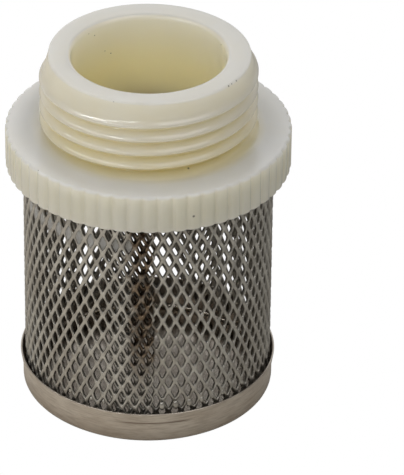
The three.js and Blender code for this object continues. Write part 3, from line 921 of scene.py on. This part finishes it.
def cage():
    """The guide over the poppet: a rim, a hub that the stem runs in and four arms between them."""
    rim_r, rim_low = 9.6, CAGE_LOW[2]
    rim_step, rim_high = rim_low + 1.6, rim_low + 3.0
    rim = turned_ring([
        (rim_r, rim_low, 0.15), (10.4, rim_low, 0.15), (10.4, rim_step, 0.05), (BODY_HIGH[0], rim_step, 0.1),
        (BODY_HIGH[0], rim_high, 0.15), (rim_r, rim_high, 0.2),
    ])
    hole_r, hub_r, collar_r = 1.45, 2.4, 4.0
    hub_low, hub_high = CAGE_HIGH[2] - 3.65, CAGE_HIGH[2]
    collar_high = hub_high - 1.1
    collar_low = collar_high - 0.9
    hub = turned_ring([
        (hole_r, hub_low, 0.1), (hub_r, hub_low, 0.15), (hub_r, collar_low, 0.1),
        (collar_r, collar_low, 0.15), (collar_r, collar_high, 0.25), (hub_r, collar_high, 0.3),
        (hub_r, hub_high, 0.2), (hole_r, hub_high, 0.15),
    ], 64)
    arms = []
    for k in range(4):
        turn = Matrix.Rotation(TURN * k / 4, 3, "Z")
        places = ((10.4, LEDGE + 8.5), (6.9, LEDGE + 10.6), (3.2, LEDGE + 12.6))
        arms.append(bent_bar([turn @ Vector((r, 0, z)) for r, z in places], 1.7, 1.1))
    add_piece("poppet_cage", *joined(rim, hub, *arms), ACETAL, HOUSING, "acetal", ["guide_cage"])


def snap_ring():
    """The open ring of flat steel, with rounded edges. Its gap is on the side of +X."""
    inner_r, outer_r = 10.9, SNAP_HIGH[1]
    middle_r = (inner_r + outer_r) / 2
    section = rounded_section(outer_r - inner_r, SNAP_HIGH[2] - SNAP_LOW[2], 0.1, 2)
    half_gap = math.radians(12)
    steps = 120
    points = []
    for i in range(steps + 1):
        a = half_gap + (TURN - 2 * half_gap) * i / steps
        points += [
            ((middle_r + x) * math.cos(a), (middle_r + x) * math.sin(a), SNAP_MIDDLE + z) for x, z in section]
    shape = points, swept_faces(steps + 1, len(section), flipped=True)
    add_piece("retaining_snap_ring", *shape, SPRING_STEEL, HOUSING, "spring_steel", ["snap_ring"])


def poppet():
    """The poppet without its seal: a stem, a plate whose two layers grip the seal, and three wings below."""
    low, high = POPPET_LOW[2], POPPET_HIGH[2]
    stem_r, guide_r, boss_r = 1.25, 1.7, 2.4
    plate_r, hub_r, spigot_r = POPPET_HIGH[0], 6.3, 5.4
    grip_low, grip_high = SEAL_LOW[2] - 1.15, SEAL_LOW[2] - 0.05
    plate_low = SEAL_HIGH[2] + 0.05
    plate_top = plate_low + 1.1
    boss_top = plate_top + 1.25
    body = turned_solid([
        (0, low, 0), (guide_r, low, 0.4), (guide_r, grip_low, 0.4), (5.8, grip_low, 0.3),
        (hub_r, SEAL_LOW[2] - 0.65, 0.2), (hub_r, grip_high, 0.1), (spigot_r, grip_high, 0.05),
        (spigot_r, plate_low, 0.05), (plate_r, plate_low, 0.15), (plate_r, plate_low + 0.55, 0.2),
        (hub_r, plate_top, 0.8), (boss_r, plate_top, 0.25), (boss_r, boss_top, 0.25), (stem_r, boss_top, 0.2),
        (stem_r, high, 0.35), (0, high, 0),
    ])
    wing_height = SEAL_LOW[2] - 0.9 - low
    wings = []
    for k in range(3):
        turn = Matrix.Rotation(TURN * k / 3, 3, "Z")
        route = [turn @ Vector((r, 0, low + wing_height / 2)) for r in (0.6, 3.7, 6.8)]
        wings.append(bent_bar(route, 1.0, wing_height, 0.3))
    add_piece("winged_poppet", *joined(body, *wings), ACETAL, POPPET_BODY, "acetal", ["poppet"])


def seal():
    """The flat rubber ring that the poppet carries."""
    inner_r, outer_r = 5.5, SEAL_HIGH[0]
    shape = turned_ring([
        (inner_r, SEAL_LOW[2], 0.1), (outer_r, SEAL_LOW[2], 0.25), (outer_r, SEAL_HIGH[2], 0.15),
        (inner_r, SEAL_HIGH[2], 0.1),
    ])
    add_piece("seal_ring", *shape, RUBBER, POPPET_BODY, "rubber", ["poppet_seal"])


def spring():
    """A compression spring whose end coils lie flat."""
    wire, coils, per_coil, sides = 0.2, 5, 40, 12  # wire is its radius
    mean_r = SPRING_HIGH[0] - wire
    low, high = SPRING_LOW[2] + wire, SPRING_HIGH[2] - wire
    end_rise = 1.1 * wire  # what each end coil rises
    end = 0.75 / coils  # the share of the wire in an end coil
    steps = coils * per_coil
    points = []
    for i in range(steps + 1):
        t = i / steps
        ends = end_rise * (min(t / end, 1) + max((t - 1) / end + 1, 0))
        middle = (high - low - 2 * end_rise) * float(smoothstep(end / 2, 1 - end / 2, t))
        a = TURN * coils * t
        for k in range(sides):
            b = TURN * k / sides
            r = mean_r + wire * math.cos(b)
            points.append((r * math.cos(a), r * math.sin(a), low + ends + middle + wire * math.sin(b)))
    shape = points, swept_faces(steps + 1, sides, flipped=True)
    piece = add_piece("coil_spring", *shape, SPRING_STEEL, HOUSING, "spring_steel", ["return_spring"])
    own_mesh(piece)


# ---- Floor, light and camera ---------------------------------------------------------------------


def floor():
    """A pale floor that the camera sees as plain white, and that lights the valve from below more softly,
    with painted light in its colour.
    """
    size = 3.0
    mesh = bpy.data.meshes.new("floor")
    corners = [(-size, -size, 0), (size, -size, 0), (size, size, 0), (-size, size, 0)]
    mesh.from_pydata(corners, [], [(0, 1, 2, 3)])
    piece = bpy.data.objects.new("floor", mesh)
    piece.location.z = -0.0001  # a hair below the cap, whose underside is at 0
    bpy.context.collection.objects.link(piece)
    n = Surface("pale_floor")
    # Painted light: the floor's colour is bright and warm on the left and grey on the right, as if lit from
    # the left.
    painted_light_falloff = n.ranged(n.add("ShaderNodeSeparateXYZ", Vector=n.place()).outputs["X"], -0.03, 0.05)
    n.set(Base_Color=n.mix(painted_light_falloff, rgb(0.96, 0.91, 0.83), rgb(0.52, 0.51, 0.48)), Roughness=0.9)
    white = n.add("ShaderNodeEmission", Color=rgb(1.0, 1.0, 1.0), Strength=1.0)
    n.camera_sees(white.outputs["Emission"], n.shader.outputs["BSDF"], "Material Output")
    mesh.materials.append(n.material)


def sky():
    """Soft light from all round: brighter overhead, warmer and brighter on the left than on the right, and
    brightest behind the valve. The camera sees a plain pale grey."""
    world = bpy.data.worlds.new("studio")
    bpy.context.scene.world = world
    n = Nodes(world)
    ray = n.add("ShaderNodeSeparateXYZ", Vector=n.add("ShaderNodeTexCoord").outputs["Generated"]).outputs
    sideways = n.ranged(ray["X"], -0.9, 0.9, smooth=False)
    horizon = n.mix(sideways, rgb(0.25, 0.24, 0.22), rgb(0.17, 0.16, 0.15))
    dome = n.mix(n.ranged(ray["Z"], 0.0, 0.9, smooth=False), horizon, rgb(0.335, 0.33, 0.32))
    backdrop = n.mix(n.ranged(ray["Y"], 0.55, 0.85, smooth=False), dome, rgb(0.95, 0.96, 0.97))
    lit = n.tree.nodes["Background"]
    n.put(lit.inputs["Color"], backdrop)
    pale = n.add("ShaderNodeBackground", Color=rgb(0.8, 0.8, 0.8))
    n.camera_sees(pale.outputs["Background"], lit.outputs["Background"], "World Output")


def softbox(name, azimuth, elevation, size, power, color=(1, 1, 1)):
    """A rectangular light facing the valve's upper part; its azimuth is counted like the collar's angles."""
    aim, distance = Vector((0, 0, 0.05)), 0.7
    light = bpy.data.lights.new(name, "AREA")
    light.shape = "RECTANGLE"
    light.size, light.size_y = size
    light.energy = power
    light.color = color
    lamp = bpy.data.objects.new(name, light)
    azimuth, elevation = math.radians(azimuth), math.radians(elevation)
    level = math.cos(elevation)
    away = Vector((level * math.sin(azimuth), -level * math.cos(azimuth), math.sin(elevation)))
    lamp.location = aim + away * distance
    lamp.rotation_euler = (-away).to_track_quat("-Z", "Y").to_euler()
    bpy.context.collection.objects.link(lamp)


def camera():
    """A long lens a little above the valve's height, which sees the valve from the front."""
    elevation, roll = math.radians(31.8), math.radians(0.68)
    distance = 0.6351
    target = Vector((8.28, 0, 25.12)) * MM
    back = Vector((0, -math.cos(elevation), math.sin(elevation)))
    right = Vector((1, 0, 0))
    up = back.cross(right)
    right, up = right * math.cos(roll) + up * math.sin(roll), up * math.cos(roll) - right * math.sin(roll)
    lens = bpy.data.cameras.new("camera")
    lens.sensor_width = 36.0
    lens.lens = 313.1
    lens.clip_start, lens.clip_end = 0.01, 20.0
    eye = bpy.data.objects.new("camera", lens)
    turned = Matrix((right, up, back)).transposed().to_4x4()
    eye.matrix_world = Matrix.Translation(target + back * distance) @ turned
    bpy.context.collection.objects.link(eye)
    bpy.context.scene.camera = eye


# ---- The whole scene -----------------------------------------------------------------------------

collar()
sleeve()
flash()
cap()
seat_body()
o_ring()
cage()
snap_ring()
poppet()
seal()
spring()
floor()
sky()
softbox("window", -56, 38, (1.1, 0.05), 1.7)
softbox("fill", 42, 54, (0.6, 0.4), 1.15, (1.0, 0.985, 0.96))
camera()
bpy.context.scene.view_settings.view_transform = "Standard"
